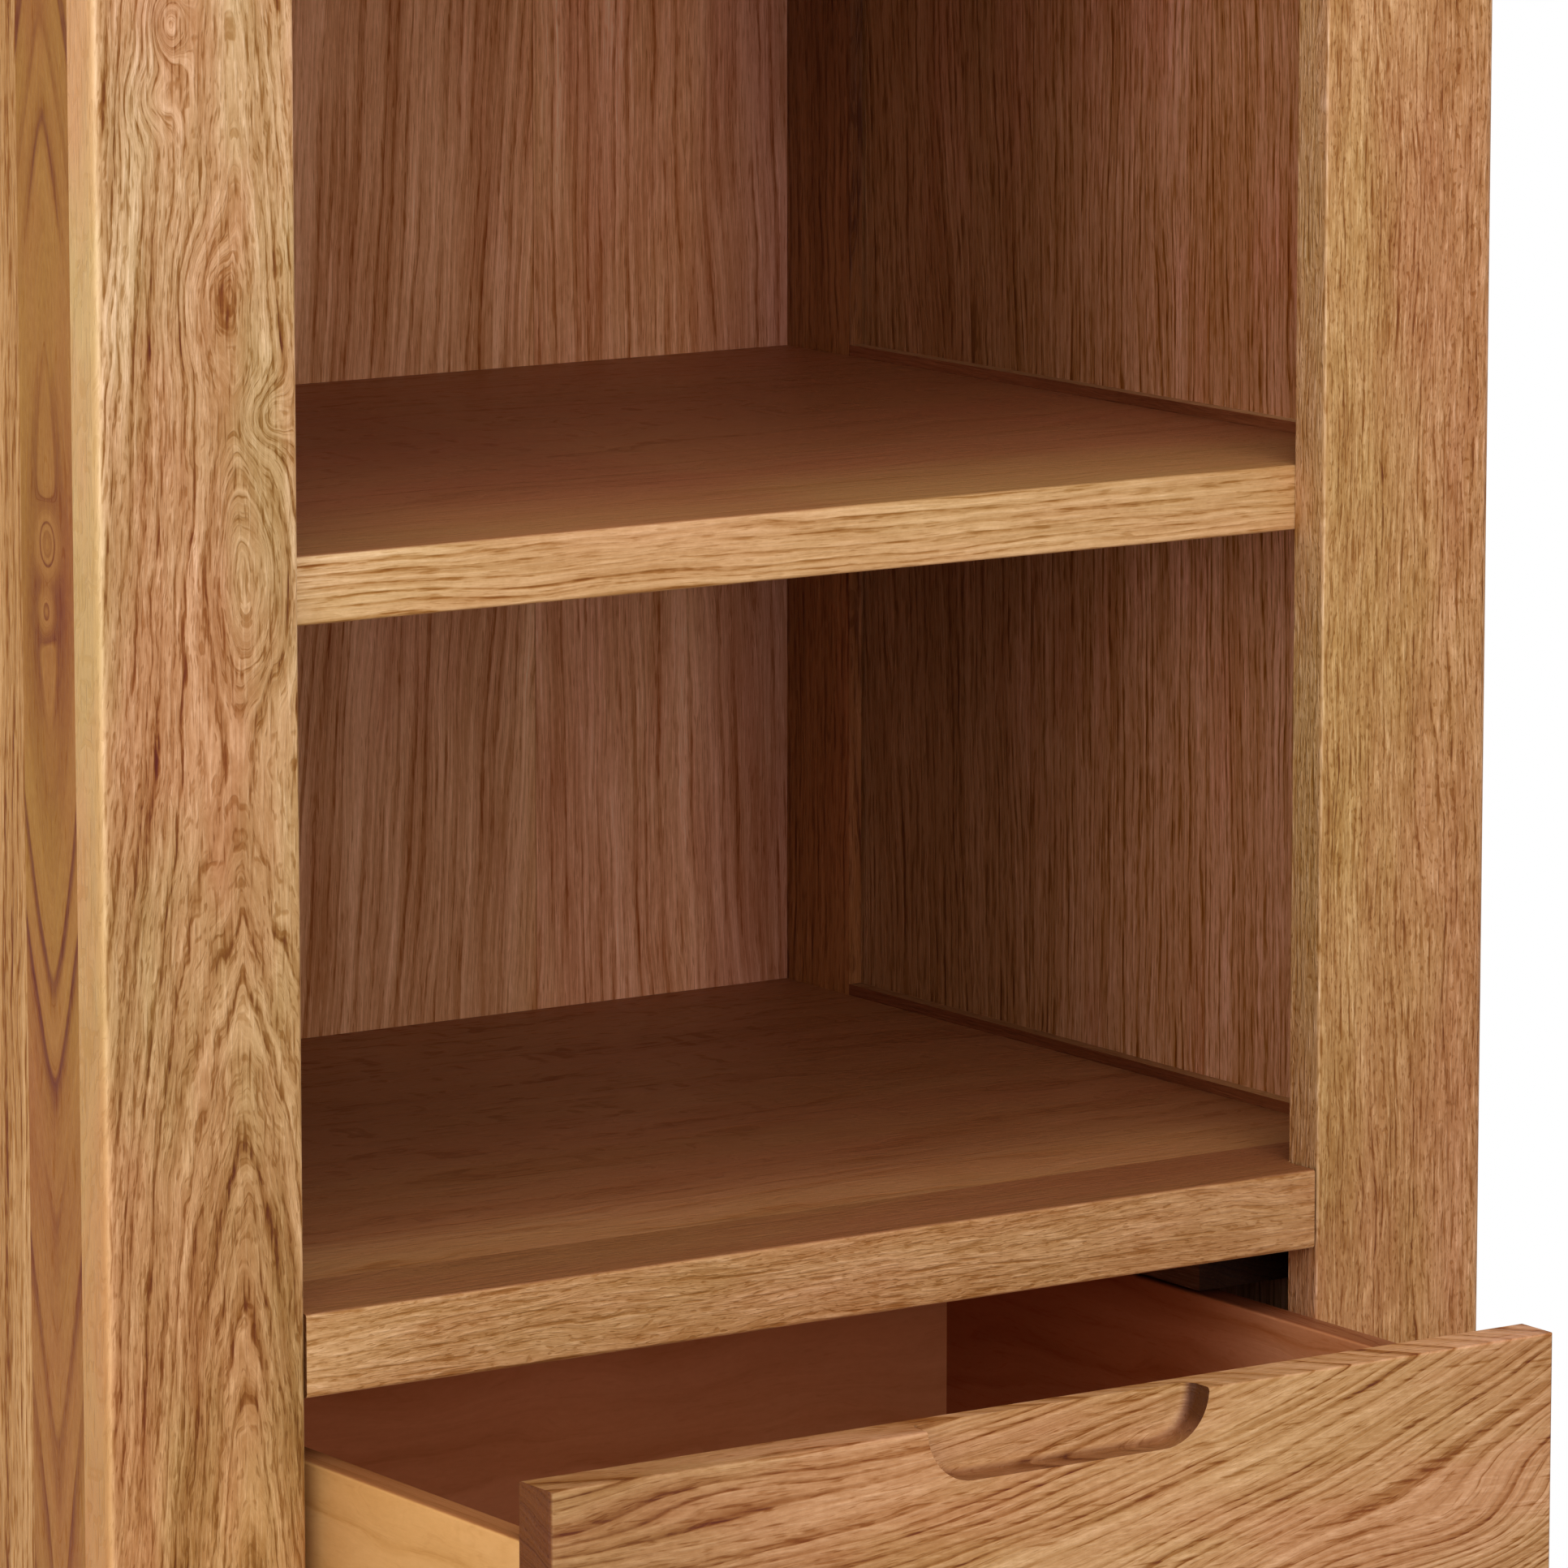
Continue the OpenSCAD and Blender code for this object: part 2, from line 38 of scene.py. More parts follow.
def make_camera():
    data = bpy.data.cameras.new("camera")
    data.sensor_width = 36.0
    data.lens = CAMERA_LENS
    data.clip_end = 60.0
    camera = bpy.data.objects.new("camera", data)
    camera.location = CAMERA_PLACE
    camera.rotation_euler = (math.pi / 2 - CAMERA_DROP, 0.0, -CAMERA_TURN)
    bpy.context.scene.collection.objects.link(camera)
    bpy.context.scene.camera = camera


# ---- Node helpers ----

def rgb(red, green, blue):
    """A linear colour."""
    return (red, green, blue, 1.0)


def shade(colour, factor):
    """The colour made darker or lighter."""
    return tuple(min(1.0, channel * factor) for channel in colour[:3]) + (1.0,)


class Graph:
    """Builds nodes in one tree. An input is a socket to link or a value to set."""

    def __init__(self, tree):
        self.tree = tree

    def node(self, kind, inputs=None, **settings):
        made = self.tree.nodes.new(kind)
        for name, value in settings.items():
            setattr(made, name, value)
        for key, value in (inputs or {}).items():
            self.plug(made.inputs[key], value)
        return made

    def plug(self, socket, value):
        if isinstance(value, bpy.types.NodeSocket):
            self.tree.links.new(value, socket)
        else:
            socket.default_value = value

    def math(self, operation, *values):
        return self.node("ShaderNodeMath", dict(enumerate(values)),
                         operation=operation).outputs[0]

    def add(self, *values):
        total = values[0]
        for value in values[1:]:
            total = self.math("ADD", total, value)
        return total

    def times(self, *values):
        total = values[0]
        for value in values[1:]:
            total = self.math("MULTIPLY", total, value)
        return total

    def vector(self, operation, *values):
        made = self.node("ShaderNodeVectorMath", dict(enumerate(values)), operation=operation)
        return made.outputs["Value" if operation == "LENGTH" else "Vector"]

    def scaled(self, vector, scale):
        made = self.node("ShaderNodeVectorMath", {0: vector}, operation="SCALE")
        self.plug(made.inputs["Scale"], scale)
        return made.outputs["Vector"]

    def split(self, vector):
        return self.node("ShaderNodeSeparateXYZ", {0: vector}).outputs

    def join(self, x, y, z):
        return self.node("ShaderNodeCombineXYZ", {0: x, 1: y, 2: z}).outputs[0]

    def noise(self, vector, per_metre, detail=2.0, roughness=0.5, output="Fac"):
        """Noise with its own number of cells per metre along each axis."""
        stretched = self.vector("MULTIPLY", vector, per_metre)
        made = self.node("ShaderNodeTexNoise", {"Vector": stretched, "Scale": 1.0,
                                                "Detail": detail, "Roughness": roughness})
        return made.outputs[output]

    def shake(self, vector, per_metre, amount, detail=2.0):
        """A vector that wanders either way by up to half the amount."""
        colour = self.noise(vector, per_metre, detail, 0.5, "Color")
        return self.scaled(self.vector("SUBTRACT", colour, (0.5, 0.5, 0.5)), amount)

    def fit(self, value, low, high, to_low=0.0, to_high=1.0, smooth=False):
        """Maps one range onto another, and holds the value at its ends."""
        made = self.node("ShaderNodeMapRange",
                         {"Value": value, "From Min": low, "From Max": high,
                          "To Min": to_low, "To Max": to_high}, clamp=True)
        made.interpolation_type = "SMOOTHSTEP" if smooth else "LINEAR"
        return made.outputs["Result"]

    def ramp(self, value, stops):
        """Greys at places from 0 to 1, with a new ramp's two stops as the first and last."""
        made = self.node("ShaderNodeValToRGB", {"Fac": value})
        elements = made.color_ramp.elements
        while len(elements) < len(stops):
            elements.new(0.5)
        for element, (place, grey) in zip(elements, stops):
            element.position = place
            element.color = (grey, grey, grey, 1.0)
        return made.outputs["Color"]

    def mix(self, factor, first, second, blend="MIX"):
        made = self.node("ShaderNodeMix", data_type="RGBA", blend_type=blend)
        colours = [socket for socket in made.inputs if socket.type == "RGBA"]
        for socket, value in zip([made.inputs[0]] + colours, (factor, first, second)):
            self.plug(socket, value)
        return next(socket for socket in made.outputs if socket.type == "RGBA")


# ---- Oak ----

# Darkness across one year's growth, from the porous early wood to the dense late wood
RING_PROFILE = ((0.0, 1.0), (0.10, 0.85), (0.30, 0.30), (0.62, 0.03), (0.90, 0.12), (1.0, 1.0))

# A stave wider than any board, for a board that isn't glued up from staves
NO_STAVES = 9.0

# Half the width of the line where two staves meet, and how dark it is
JOINT_HALF_WIDTH = 0.0005
JOINT_DARKNESS = 0.12


def oak_figure_group():
    """The figure of a sawn board. Each board is cut from rings round its own heart line.

    Board vector: x across the face, y through the thickness, z along the grain, in metres.
    Rings and Pores are how dark, from 0 to 1. Bands and Streaks go either way from 0.
    """
    tree = bpy.data.node_groups.new("oak_figure", "ShaderNodeTree")
    for name, kind in (("Board", "Vector"), ("Heart", "Vector"), ("Lean", "Float"),
                       ("Ring", "Float"), ("Wave", "Float"), ("Swirl", "Float"),
                       ("Stave", "Float"), ("Stave start", "Float"), ("Ripple", "Float"),
                       ("Closed", "Float"), ("Chop", "Float"), ("Seed", "Float")):
        tree.interface.new_socket(name, in_out="INPUT", socket_type="NodeSocket" + kind)
    outputs = ("Rings", "Bands", "Streaks", "Pores", "Flecks and glints", "Mottle", "Cloud", "Stave tone",
               "Joint", "Height")
    for name in outputs:
        tree.interface.new_socket(name, in_out="OUTPUT", socket_type="NodeSocketFloat")
    g = Graph(tree)
    given = g.node("NodeGroupInput").outputs
    board, seed = given["Board"], given["Seed"]
    x, _, z = g.split(board)[0:3]

    # Glued-up panels: each stave has its own place in the tree
    slot = g.math("DIVIDE", g.math("SUBTRACT", x, given["Stave start"]), given["Stave"])
    index = g.math("FLOOR", slot)
    across = g.math("SUBTRACT", slot, index)
    chance = g.node("ShaderNodeTexWhiteNoise", {"Vector": g.join(index, seed, 0.5)},
                    noise_dimensions="3D")
    luck = g.vector("SUBTRACT", chance.outputs["Color"], (0.5, 0.5, 0.5))
    staved = g.math("LESS_THAN", given["Stave"], NO_STAVES)
    edge = g.times(g.math("MINIMUM", across, g.math("SUBTRACT", 1.0, across)), given["Stave"])
    joint = g.times(g.fit(edge, 0.0, JOINT_HALF_WIDTH, 1.0, 0.0), staved)
    lucky = g.split(g.scaled(luck, staved))

    # A private piece of noise space for this board and stave
    place = g.vector("ADD", board, g.join(g.times(seed, 3.71), g.times(seed, 1.93), seed))
    place = g.vector("ADD", place, g.vector("MULTIPLY", luck, (5.0, 5.0, 9.0)))

    # The heart line wanders and the rings are never quite round
    from_heart = g.vector("SUBTRACT", board, given["Heart"])
    for shift in (g.vector("MULTIPLY", g.join(lucky[0], lucky[1], 0.0), (0.14, 0.06, 0.0)),
                  g.shake(place, (9.0, 9.0, 1.7), given["Wave"]),
                  g.shake(place, (38.0, 38.0, 10.0), g.times(given["Wave"], 0.38)),
                  g.shake(place, (170.0, 170.0, 40.0), given["Ripple"], 1.0)):
        from_heart = g.vector("ADD", from_heart, shift)
    radius = g.add(g.vector("LENGTH", g.vector("MULTIPLY", from_heart, (1.0, 1.0, 0.0))),
                   g.times(g.add(given["Lean"], g.times(lucky[2], 0.11)), z),
                   given["Swirl"])

    # Years differ in width and in strength
    years = g.math("DIVIDE", radius, given["Ring"])
    uneven = g.noise(g.join(g.times(years, 0.37), seed, 0.0), (1.0, 1.0, 1.0), 1.0)
    years = g.add(years, g.times(uneven, 2.6))
    rings = g.ramp(g.math("FRACT", years), RING_PROFILE)
    strength = g.noise(g.join(g.times(years, 0.9), seed, g.times(z, 9.0)), (1.0, 1.0, 1.0), 2.0)
    rings = g.times(rings, g.fit(strength, 0.36, 0.60, 0.12, 1.0))

    # Everything finer follows the flow of the rings
    flow = g.join(radius, g.times(seed, 2.17),
                  g.times(g.add(z, g.times(lucky[0], 7.0)), given["Chop"]))
    bands = g.fit(g.noise(flow, (85.0, 1.0, 3.5), 2.0, 0.6), 0.30, 0.70, -1.0, 1.0)
    streaks = g.fit(g.noise(flow, (820.0, 1.0, 19.0), 3.0, 0.62), 0.28, 0.72, -1.0, 1.0)
    fine = g.noise(flow, (1500.0, 1.0, 105.0), 1.0)
    coarse = g.noise(g.vector("ADD", place, (2.0, 9.0, 4.0)), (700.0, 700.0, 60.0), 1.0)
    crowd = g.add(g.fit(rings, 0.0, 0.7, 0.60, 0.50), g.times(given["Closed"], 0.06))
    pores = g.math("MAXIMUM",
                   g.fit(g.math("SUBTRACT", fine, crowd), 0.0, 0.10, 0.0, 0.9),
                   g.fit(g.math("SUBTRACT", coarse, crowd), 0.02, 0.12, 0.0, 1.0))
    # Pale flecks: partly the oak's rays, partly painted glints standing in for lamp light caught
    # by the relief
    flecks_and_glints = g.fit(g.noise(g.vector("ADD", place, (7.0, 3.0, 5.0)), (900.0, 900.0, 75.0), 1.0),
                   0.54, 0.68)
    broken = g.times(rings, g.math("MAXIMUM", g.fit(coarse, 0.36, 0.56, 0.38, 1.0),
                                   given["Closed"]))
    mottle = g.fit(g.noise(place, (520.0, 520.0, 230.0), 2.0, 0.7), 0.30, 0.70, -1.0, 1.0)
    cloud = g.noise(place, (20.0, 20.0, 5.0), 3.0, 0.6)

    height = g.add(g.times(streaks, 0.45), g.times(flecks_and_glints, 0.3), g.times(broken, -0.35),
                   g.times(pores, -0.5), g.times(joint, -1.0))
    out = g.node("NodeGroupOutput").inputs
    made = (broken, bands, streaks, pores, flecks_and_glints, mottle, cloud, g.add(lucky[1], 0.5), joint,
            height)
    for name, socket in zip(outputs, made):
        tree.links.new(socket, out[name])
    return tree


FIGURE = oak_figure_group()

# The row's axes, and the ways that a face looks along them
X, Y, Z = 0, 1, 2
LEFTWARD, RIGHTWARD = (X, -1.0), (X, 1.0)
FORWARD, BACKWARD = (Y, -1.0), (Y, 1.0)
UPWARD, DOWNWARD = (Z, 1.0), (Z, -1.0)

# For each way a board lies, the axes that run across it, through it and along its grain
GRAIN_ORDERS = {"up": (X, Y, Z), "up_side": (Y, X, Z), "across": (Z, Y, X),
                "across_flat": (Y, Z, X), "back": (Z, X, Y)}

# A trunk that isn't bowed
NO_SWEEP = (0.0, 0.0, 1.0)


def swirl(g, board, knots, sweep):
    """How far the rings bulge out or in: round knots, and along a bowed trunk.

    A knot is (across, along, width, length, bulge). A sweep is (along, strength, reach),
    and past its reach the trunk runs nearly straight.
    """
    x, _, z = g.split(board)[0:3]
    middle, strength, reach = sweep
    from_bow = g.times(g.math("SUBTRACT", z, middle), 1 / reach)
    squared = g.times(from_bow, from_bow)
    bowed = g.math("DIVIDE", squared, g.add(squared, 1.0))
    total = g.times(bowed, strength * reach * reach)
    for across, along, width, length, bulge in knots:
        dx = g.math("DIVIDE", g.math("SUBTRACT", x, across), width)
        dz = g.math("DIVIDE", g.math("SUBTRACT", z, along), length)
        away = g.add(g.times(dx, dx), g.times(dz, dz))
        total = g.add(total, g.times(g.math("POWER", math.e, g.times(away, -1.0)), bulge))
    return total


# How far one step of lightness moves red, green and blue, and the darkest it leaves
LIGHT_STEP = (0.96, 1.05, 1.12)
DARKEST = (0.02, 0.02, 0.02)
GAMMA = 2.2


def lightened(g, colour, amount):
    """Adds nearly the same step of perceived lightness to each channel, as stain on oak does."""
    seen = g.node("ShaderNodeGamma", {"Color": colour, "Gamma": 1 / GAMMA}).outputs[0]
    moved = g.vector("ADD", seen, g.scaled(LIGHT_STEP, amount))
    held = g.vector("MAXIMUM", moved, DARKEST)
    return g.node("ShaderNodeGamma", {"Color": held, "Gamma": GAMMA}).outputs[0]


# The height of the wood's relief, how much rougher its pores are, and the lacquer's shine
RELIEF_HEIGHT = 0.0012
PORE_ROUGHNESS = 0.25
LACQUER_SHINE = 0.35


def oak(name, grain, pale, warm, heart=(0.9, 0.4), lean=0.0, ring=0.004, wave=0.02, knots=(),
        sweep=NO_SWEEP, stave=NO_STAVES, stave_start=0.0, ripple=0.0008, closed=0.0, chop=1.0,
        seed=0.0, rings=0.2, bands=0.04, streaks=0.08, pores=0.15, flecks_and_glints=0.06, mottle=0.02,
        relief=0.35, gloss=0.45, drifting=(0.36, 0.64), calm=None, painted_highlights=(), turned=(),
        tones=()):
    """An oak board whose plain wood drifts between a pale and a warm colour.

    rings, bands, streaks, pores, flecks and mottle: how much each darkens or lightens. The
    pale flecks are partly the oak's rays and partly painted glints.
    calm: (axis, broad, fine), how much of that figure is left on faces square to the axis.
    painted_highlights: (across, through, width, amount), a painted highlight along an
    eased arris.
    turned: (facing, tint), a tint of the faces that look one way, such as UPWARD, most of
        it painted light and shade.
    tones: (axis, start, end, first, last), a tint that changes along one of the row's axes,
        most of it painted light and shade, and after it a facing where only the faces that
        look that way have it.
    """
    material = bpy.data.materials.new(name)
    material.use_nodes = True
    tree = material.node_tree
    tree.nodes.clear()
    g = Graph(tree)
    axes = g.split(g.node("ShaderNodeTexCoord").outputs["Object"])
    faces = g.split(g.node("ShaderNodeTexCoord").outputs["Normal"])
    board = g.join(*(axes[i] for i in GRAIN_ORDERS[grain]))
    figure = g.node("ShaderNodeGroup", node_tree=FIGURE)
    for key, value in (("Board", board), ("Heart", (*heart, 0.0)), ("Lean", lean),
                       ("Ring", ring), ("Wave", wave), ("Swirl", swirl(g, board, knots, sweep)),
                       ("Stave", stave), ("Stave start", stave_start), ("Ripple", ripple),
                       ("Closed", closed), ("Chop", chop), ("Seed", seed)):
        g.plug(figure.inputs[key], value)
    out = figure.outputs
    drift = g.add(out["Cloud"], g.times(g.math("SUBTRACT", out["Stave tone"], 0.5), 0.5))
    colour = g.mix(g.fit(drift, *drifting), pale, warm)
    broad = g.add(g.times(out["Rings"], -rings), g.times(out["Bands"], bands))
    fine = g.add(g.times(out["Streaks"], streaks), g.times(out["Pores"], -pores),
                 g.times(out["Flecks and glints"], flecks_and_glints), g.times(out["Mottle"], mottle))
    if calm:
        square = g.math("ABSOLUTE", faces[calm[0]])
        broad = g.times(broad, g.fit(square, 0.5, 0.8, 1.0, calm[1]))
        fine = g.times(fine, g.fit(square, 0.5, 0.8, 1.0, calm[2]))
    step = g.add(broad, fine, g.times(out["Joint"], -JOINT_DARKNESS))
    # Painted highlights: a pale line along each eased arris, where the lamps would catch it
    for across, through, width, amount in painted_highlights:
        away = g.math("MAXIMUM",
                      g.math("ABSOLUTE", g.math("SUBTRACT", g.split(board)[0], across)),
                      g.math("ABSOLUTE", g.math("SUBTRACT", g.split(board)[1], through)))
        step = g.add(step, g.fit(away, 0.0, width, amount, 0.0, smooth=True))
    colour = lightened(g, colour, step)
    ending = g.math("ABSOLUTE", faces[GRAIN_ORDERS[grain][2]])
    colour = g.mix(g.fit(ending, 0.3, 0.85), colour, END_GRAIN, "MULTIPLY")

    def looking(axis, way):
        """1 on the faces that look one way along an axis, and 0 on the others."""
        return g.fit(g.times(faces[axis], way), 0.5, 0.85)

    for facing, tint in turned:
        colour = g.mix(looking(*facing), colour, tint, "MULTIPLY")
    for axis, start, end, first, last, *facing in tones:
        change = g.fit(axes[axis], start, end, smooth=True)
        where = looking(*facing[0]) if facing else 1.0
        colour = g.mix(where, colour, g.mix(change, first, last), "MULTIPLY")
    bump = g.node("ShaderNodeBump", {"Strength": relief, "Distance": RELIEF_HEIGHT,
                                     "Height": out["Height"]})
    shader = g.node("ShaderNodeBsdfPrincipled",
                    {"Base Color": colour, "Normal": bump.outputs[0],
                     "Roughness": g.fit(out["Pores"], 0.0, 1.0, gloss, gloss + PORE_ROUGHNESS),
                     "Specular IOR Level": LACQUER_SHINE})
    g.node("ShaderNodeOutputMaterial", {"Surface": shader.outputs[0]})
    return material


def dress(material, *nodes):
    """Gives the material to the named pieces."""
    for name in nodes:
        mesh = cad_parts[name].data
        mesh.materials.clear()
        mesh.materials.append(material)


def plain(name, colour, roughness, metallic=0.0):
    """Metal and plastic with a fine tooled or moulded texture."""
    material = bpy.data.materials.new(name)
    material.use_nodes = True
    tree = material.node_tree
    tree.nodes.clear()
    g = Graph(tree)
    place = g.node("ShaderNodeTexCoord").outputs["Object"]
    speck = g.noise(place, (900.0, 900.0, 900.0), 2.0)
    tint = g.mix(g.fit(speck, 0.3, 0.7, 0.0, 0.35), colour, shade(colour, 0.7))
    bump = g.node("ShaderNodeBump", {"Strength": 0.15, "Distance": 0.0002, "Height": speck})
    shader = g.node("ShaderNodeBsdfPrincipled",
                    {"Base Color": tint, "Metallic": metallic, "Normal": bump.outputs[0],
                     "Roughness": g.fit(speck, 0.2, 0.8, roughness, roughness + 0.15)})
    g.node("ShaderNodeOutputMaterial", {"Surface": shader.outputs[0]})
    return material


# Linear colours of the lacquered wood, and what end grain makes of them
PALE = rgb(0.56, 0.325, 0.115)
WARM = rgb(0.56, 0.275, 0.105)
END_GRAIN = rgb(0.34, 0.22, 0.14)
WHITE = rgb(1.0, 1.0, 1.0)

# Heights between which the painted light and shade on upright boards changes: at the
# drawer, in the lowest compartment, and two near the top of the one over it
DRAWER_HEIGHT, LOW_HEIGHT, MIDDLE_HEIGHT, HIGH_HEIGHT = 0.25, 0.50, 0.80, 0.85


def dress_face_frame():
    left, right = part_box("face_stile_left"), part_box("face_stile_right")
    front = left[0].y
    # Painted light and shade on the left stile: painted highlights along both front arrises, its
    # left face painted a lighter tint, and painted shade deepening downwards towards the drawer
    dress(oak("oak_stile_left", "up", rgb(0.640, 0.388, 0.164), rgb(0.665, 0.325, 0.145),
              heart=(left[1].x - 0.023, front + 0.006), lean=0.085, ring=0.0050, wave=0.018,
              ripple=0.0034, chop=1.7, seed=3.0, rings=0.24, bands=0.08, streaks=0.085,
              pores=0.13, flecks_and_glints=0.07, mottle=0.03, relief=0.45, drifting=(0.38, 0.62),
              calm=(X, 0.0, 0.22),
              knots=((left[0].x + 0.029, 0.817, 0.008, 0.013, -0.018),
                     (left[0].x + 0.022, 0.792, 0.010, 0.012, -0.010),
                     (left[1].x - 0.012, 0.678, 0.012, 0.011, 0.010),
                     (left[1].x - 0.016, 0.620, 0.018, 0.034, -0.014),
                     (left[0].x + 0.043, 0.722, 0.013, 0.025, -0.009),
                     (left[1].x - 0.023, 0.530, 0.022, 0.120, 0.018)),
              painted_highlights=((left[0].x, front, 0.0034, 0.26), (left[1].x, front, 0.0009, 0.12)),
              turned=((LEFTWARD, rgb(1.06, 1.06, 0.91)),),
              tones=((Z, DRAWER_HEIGHT, HIGH_HEIGHT, rgb(0.82, 0.74, 0.62),
                      rgb(1.0, 1.03, 1.12)),)),
          "face_stile_left")
    inner = right[0].x
    # Painted light and shade on the right stile: a painted highlight along the inner arris, its
    # inner edge painted lighter, and painted shade deepening downwards towards the drawer
    dress(oak("oak_stile_right", "up", rgb(0.535, 0.285, 0.095), rgb(0.535, 0.245, 0.098),
              heart=(1.2, 0.5), ring=0.0026, wave=0.03, ripple=0.0030, chop=3.0, seed=5.0,
              rings=0.12, bands=0.06, streaks=0.085, pores=0.12, flecks_and_glints=0.10, mottle=0.035,
              relief=0.45, calm=(X, 0.12, 0.9), painted_highlights=((inner, front, 0.0012, 0.16),),
              turned=((LEFTWARD, rgb(1.15, 1.22, 1.55)),),
              tones=((X, inner, right[1].x, rgb(1.04, 1.07, 0.98), rgb(1.02, 0.93, 1.0)),
                     (Z, DRAWER_HEIGHT, HIGH_HEIGHT, rgb(0.90, 0.85, 0.80), WHITE))),
          "face_stile_right")
    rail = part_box("drawer_rail")
    # Painted light and shade on the rail: a painted highlight along the top front arris and
    # painted shade on the top face; it also darkens towards its right end
    dress(oak("oak_rail", "across", rgb(0.63, 0.330, 0.128), rgb(0.63, 0.285, 0.120),
              heart=(0.30, -0.10), ring=0.0035, wave=0.03, chop=2.0, seed=41.0, rings=0.07,
              bands=0.05, streaks=0.065, pores=0.10, flecks_and_glints=0.06, mottle=0.035, relief=0.4,
              painted_highlights=((rail[1].z, rail[0].y, 0.0008, 0.06),), calm=(Z, 0.4, 0.3),
              turned=((UPWARD, rgb(0.55, 0.42, 0.36)),),
              tones=((X, 0.02, 0.20, WHITE, rgb(0.88, 0.83, 0.78)),)),
          "drawer_rail", "top_face_rail", "bottom_face_rail")


def dress_sides():
    left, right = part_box("side_stile_left"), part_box("side_stile_right")
    centre = (left[0].y + left[1].y) / 2
    under_face = 0.003
    for name, base, heart_x in (
            ("side_stile_left", (rgb(0.415, 0.185, 0.025), rgb(0.375, 0.125, 0.021)),
             left[0].x + under_face),
            ("side_stile_right", (rgb(0.50, 0.265, 0.075), rgb(0.50, 0.225, 0.070)),
             right[1].x - under_face)):
        dress(oak("oak_" + name, "up_side", *base,
                  heart=(centre, heart_x), sweep=(0.630, 1.3, 0.30), ring=0.0135, wave=0.010,
                  ripple=0.0004, closed=1.0, seed=11.0, rings=0.22, bands=0.03, streaks=0.02,
                  pores=0.04, flecks_and_glints=0.02, relief=0.15,
                  knots=((centre, 0.635, 0.0065, 0.011, 0.040),
                         (centre + 0.001, 0.611, 0.0050, 0.008, 0.026))), name)
    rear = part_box("side_panel_right")[1].y
    inner = right[0].x
    # On the right panel's inner face: painted light at the front fading to painted shade at the
    # back, painted shade just behind the front, and painted light higher up. On the right rear
    # post: painted shade on its inner face, deepening upwards there and on its front step
    for name, seed, base, tones in (
            ("side_panel_left", 12.0, (rgb(0.53, 0.300, 0.084), rgb(0.53, 0.255, 0.077)), ()),
            ("rear_post_left", 13.0, (PALE, WARM), ()),
            ("side_panel_right", 14.0, (rgb(0.55, 0.315, 0.112), rgb(0.57, 0.270, 0.108)),
             ((Y, rear - 0.28, rear - 0.075, rgb(1.36, 1.13, 1.62), rgb(0.50, 0.36, 0.38),
               LEFTWARD),
              (Y, rear - 0.36, rear - 0.30, rgb(0.90, 0.86, 0.80), WHITE, LEFTWARD),
              (Z, LOW_HEIGHT, HIGH_HEIGHT, WHITE, rgb(1.13, 1.13, 1.13), LEFTWARD))),
            ("rear_post_right", 15.0, (PALE, WARM),
             ((X, inner + 0.0085, inner + 0.0095, rgb(0.51, 0.29, 0.22), WHITE),
              (Z, LOW_HEIGHT, MIDDLE_HEIGHT, rgb(1.05, 1.07, 1.05), rgb(0.70, 0.70, 0.74),
               LEFTWARD),
              (Z, LOW_HEIGHT, MIDDLE_HEIGHT, WHITE, rgb(0.62, 0.58, 0.66), FORWARD)))):
        dress(oak("oak_" + name, "up_side", *base, heart=(0.9, 0.6), ring=0.0044,
                  wave=0.024, ripple=0.0008, stave=0.119, stave_start=0.005, seed=seed,
                  rings=0.18, bands=0.06, streaks=0.08, pores=0.12, flecks_and_glints=0.05, relief=0.3,
                  tones=tones), name)


